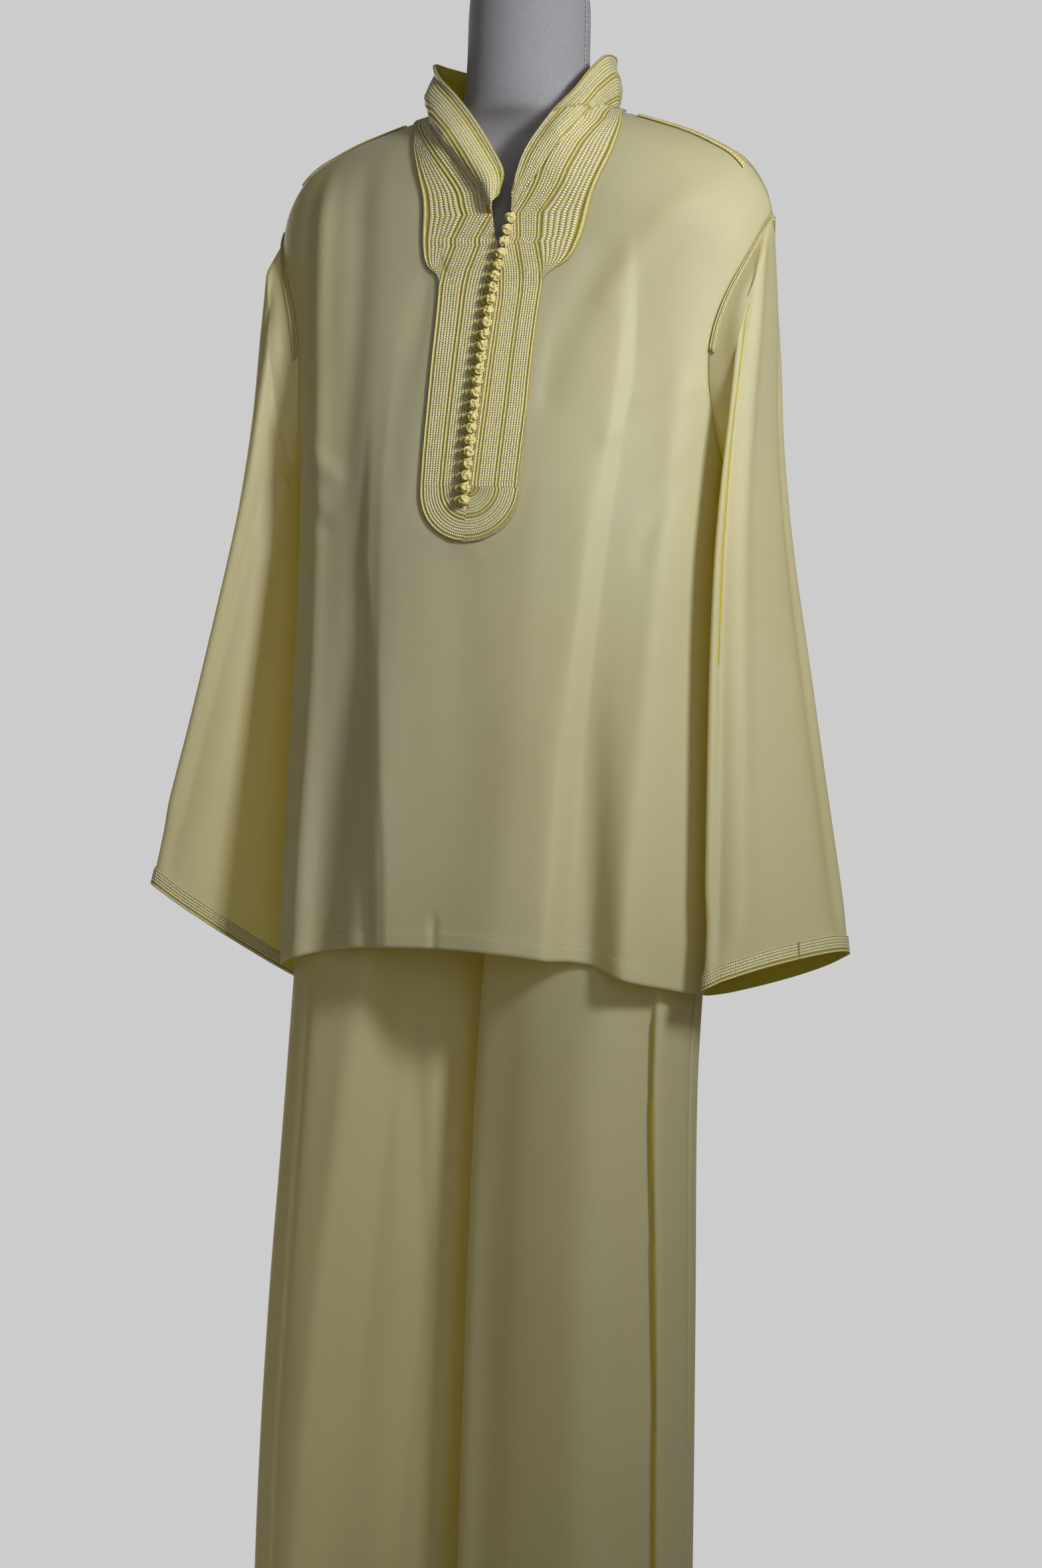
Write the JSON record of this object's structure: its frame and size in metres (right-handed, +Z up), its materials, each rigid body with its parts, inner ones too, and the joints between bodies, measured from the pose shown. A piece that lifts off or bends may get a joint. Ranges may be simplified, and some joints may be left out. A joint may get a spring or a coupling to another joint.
{
  "type": "jabador on a dress form",
  "caption": "Pale yellow embroidered tunic and wide trousers hanging on a limbless cloth-covered dress form.",
  "frame": {"origin": "floor level under the middle of the whole object", "axes": "+Z up, the front of the garment faces -Y, the wearer's left is +X"},
  "size_m": [0.6256, 0.38, 1.576],
  "materials": {
    "crepe": "matte satin crepe",
    "braid": "woven braid with a pale sparkle",
    "cord": "knotted silky cord",
    "form_cover": "plain woven twill",
    "pole_metal": "brushed",
    "base_paint": "satin dark paint"
  },
  "bodies": {
    "root": {"tunic_front": "crepe", "tunic_back": "crepe", "sleeve_left": "crepe", "sleeve_right": "crepe", "trouser_front_left": "crepe", "trouser_front_right": "crepe", "trouser_back_left": "crepe", "trouser_back_right": "crepe", "waistband": "crepe", "plastron": "braid", "collar": "braid", "cuff_braid_left": "braid", "cuff_braid_right": "braid", "armhole_braid_left": "braid", "armhole_braid_right": "braid", "shoulder_braid_left": "braid", "shoulder_braid_right": "braid", "button_01": "cord", "button_02": "cord", "button_03": "cord", "button_04": "cord", "button_05": "cord", "button_06": "cord", "button_07": "cord", "button_08": "cord", "button_09": "cord", "button_10": "cord", "button_11": "cord", "button_12": "cord", "button_13": "cord", "button_14": "cord", "button_15": "cord", "button_16": "cord", "button_17": "cord", "button_18": "cord", "button_19": "cord", "button_20": "cord", "button_21": "cord", "button_22": "cord", "button_23": "cord", "button_24": "cord", "button_25": "cord", "button_loop_cord": "cord", "form_body": "form_cover", "pole": "pole_metal", "base": "base_paint"}
  },
  "joints": []
}
